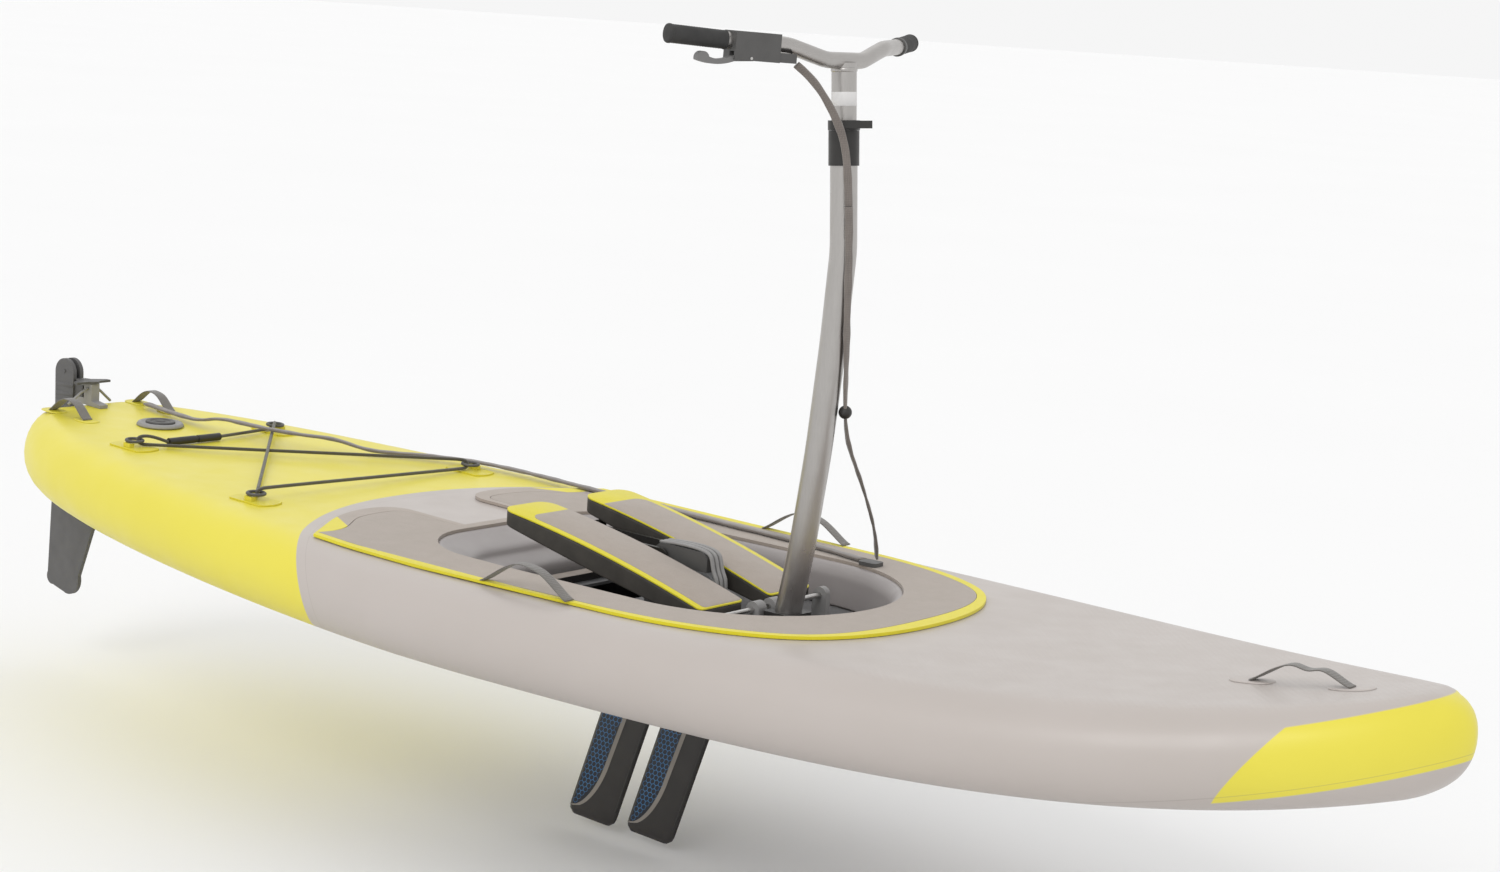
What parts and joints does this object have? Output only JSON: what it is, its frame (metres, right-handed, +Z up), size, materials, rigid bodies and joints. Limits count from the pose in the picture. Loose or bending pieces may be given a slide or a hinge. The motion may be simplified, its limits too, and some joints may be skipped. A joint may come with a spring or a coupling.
{
  "type": "stand-up pedal board",
  "caption": "Inflatable stand-up board driven by stepping pedals that swing fins under the hull, steered from a handlebar on a mast through a kick-up rudder.",
  "frame": {"origin": "board centreline, midway along the board, at the height of the flat bottom under the drive well", "axes": "+X to the bow, +Y to port, +Z up"},
  "size_m": [3.378, 0.9924, 1.5287],
  "materials": {
    "hull": "PVC-coated drop-stitch fabric, satin",
    "collar": "PVC-coated fabric, satin",
    "grey_plastic": "moulded, fine texture",
    "black_plastic": "moulded, glass-filled",
    "light_plastic": "moulded, satin",
    "pad": "closed-cell foam, fine grain",
    "yellow_pad": "closed-cell foam, fine grain",
    "webbing": "woven polyester",
    "sleeve": "woven sleeve",
    "cord": "braided shock cord",
    "aluminium": "satin anodised",
    "steel": "satin",
    "rubber": "matt grip rubber",
    "fin": "satin moulded rubber",
    "rudder": "moulded nylon"
  },
  "bodies": {
    "board": {"hull": "hull", "well_collar": "collar", "drive_well": "grey_plastic", "drive_deck": "light_plastic", "well_cross_beam": "black_plastic", "deck_pad": "pad", "deck_pad_border": "yellow_pad", "side_handles": "webbing", "end_handles": "webbing", "ring_patches": "hull", "tie_rings": "black_plastic", "valve_body": "light_plastic", "mast_base_collar": "black_plastic", "mast_lower_tube": "aluminium", "mast_fasteners": "steel", "clamp_sleeve": "black_plastic", "clamp_ring": "black_plastic", "pedal_lugs": "light_plastic", "pedal_pins": "steel", "drive_spine": "black_plastic", "drive_spine_cap": "light_plastic", "drive_shafts": "steel", "rudder_bracket": "light_plastic", "sleeve_lower": "sleeve", "sleeve_deck": "sleeve", "sleeve_toggle": "black_plastic", "deck_fitting": "black_plastic", "bungee_cord": "cord", "cord_lock": "black_plastic"},
    "valve_cap": {"valve_cap": "black_plastic"},
    "latch_knob": {"drive_latch_knob": "black_plastic"},
    "clamp_lever": {"clamp_lever": "black_plastic"},
    "handlebar": {"mast_upper_tube": "aluminium", "handlebar_tube": "aluminium", "grip_starboard": "rubber", "grip_port": "rubber", "lever_housing": "grey_plastic", "lever_pivot_screw": "steel", "sleeve_upper": "sleeve"},
    "steering_lever": {"steering_lever": "grey_plastic"},
    "fin_front": {"fin_front": "fin", "fin_mast_front": "steel"},
    "fin_rear": {"fin_rear": "fin", "fin_mast_rear": "steel"},
    "rudder_head": {"rudder_knuckle": "grey_plastic", "rudder_pin": "steel", "rudder_cheeks": "rudder", "tiller_arm": "grey_plastic"},
    "rudder_blade": {"rudder_blade": "rudder"},
    "pedal_starboard": {"pedal_starboard": "black_plastic", "pedal_foam_starboard": "pad", "pedal_trim_starboard": "yellow_pad"},
    "crank_starboard": {"crank_arm_starboard": "black_plastic"},
    "roller_starboard": {"pedal_roller_starboard": "black_plastic"},
    "pedal_port": {"pedal_port": "black_plastic", "pedal_foam_port": "pad", "pedal_trim_port": "yellow_pad"},
    "crank_port": {"crank_arm_port": "black_plastic"},
    "roller_port": {"pedal_roller_port": "black_plastic"}
  },
  "joints": [
    {"name": "valve_cap_twist", "type": "hinge", "parent": "board", "child": "valve_cap", "pos_m": [-1.34, 0, 0.216], "axis": [0.028, 0, 0.9996], "range_deg": [0, 90]},
    {"name": "latch_turn", "type": "hinge", "parent": "board", "child": "latch_knob", "pos_m": [0.425, 0.048, 0.1], "axis": [0, 0, 1], "range_deg": [0, 90]},
    {"name": "clamp_lever_swing", "type": "hinge", "parent": "board", "child": "clamp_lever", "pos_m": [0.44479, -0.02626, 0.99719], "axis": [0.0847, 0, -0.9964], "range_deg": [0, 110]},
    {"name": "handlebar_height", "type": "slide", "parent": "board", "child": "handlebar", "axis": [-0.0847, 0, 0.9964], "range_m": [-0.04, 0.1], "deforming": ["sleeve_upper"]},
    {"name": "steering_lever_swing", "type": "hinge", "parent": "handlebar", "child": "steering_lever", "pos_m": [0.36504, -0.21707, 1.112], "axis": [-0.9291, 0.3699, 0], "range_deg": [-5.1, 5.1]},
    {"name": "pedal_starboard_swing", "type": "hinge", "parent": "board", "child": "pedal_starboard", "pos_m": [0.325, 0, 0.128], "axis": [0, 1, 0], "range_deg": [-11, 11]},
    {"name": "pedal_port_swing", "type": "hinge", "parent": "board", "child": "pedal_port", "pos_m": [0.325, 0, 0.128], "axis": [0, 1, 0], "range_deg": [-11, 11]},
    {"name": "crank_starboard_swing", "type": "hinge", "parent": "board", "child": "crank_starboard", "pos_m": [0.1, 0, 0.187], "axis": [0, 1, 0], "range_deg": [-23, 23]},
    {"name": "crank_port_swing", "type": "hinge", "parent": "board", "child": "crank_port", "pos_m": [0.1, 0, 0.187], "axis": [0, 1, 0], "range_deg": [-23, 23]},
    {"name": "roller_starboard_spin", "type": "hinge", "parent": "crank_starboard", "child": "roller_starboard", "pos_m": [-0.126, -0.048, 0.194], "axis": [0, 1, 0], "continuous": true},
    {"name": "roller_port_spin", "type": "hinge", "parent": "crank_port", "child": "roller_port", "pos_m": [-0.126, 0.048, 0.194], "axis": [0, 1, 0], "continuous": true},
    {"name": "fin_front_swing", "type": "hinge", "parent": "board", "child": "fin_front", "pos_m": [0.196, 0, -0.022], "axis": [1, 0, 0], "range_deg": [-70, 70]},
    {"name": "fin_rear_swing", "type": "hinge", "parent": "board", "child": "fin_rear", "pos_m": [0.057, 0, -0.022], "axis": [1, 0, 0], "range_deg": [-70, 70]},
    {"name": "rudder_steer", "type": "hinge", "parent": "board", "child": "rudder_head", "pos_m": [-1.604, 0, 0.249], "axis": [0, 0, 1], "range_deg": [-30, 30]},
    {"name": "rudder_kick_up", "type": "hinge", "parent": "rudder_head", "child": "rudder_blade", "pos_m": [-1.651, 0, 0.286], "axis": [0, 1, 0], "range_deg": [0, 95]}
  ],
  "couplings": [
    {"joint": "pedal_port_swing", "follows": "pedal_starboard_swing", "ratio": -1},
    {"joint": "crank_starboard_swing", "follows": "pedal_starboard_swing", "ratio": 2.05},
    {"joint": "crank_port_swing", "follows": "pedal_starboard_swing", "ratio": -2.05},
    {"joint": "fin_front_swing", "follows": "pedal_starboard_swing", "ratio": 6.3},
    {"joint": "fin_rear_swing", "follows": "pedal_starboard_swing", "ratio": -6.3},
    {"joint": "steering_lever_swing", "follows": "rudder_steer", "ratio": 0.16667}
  ]
}
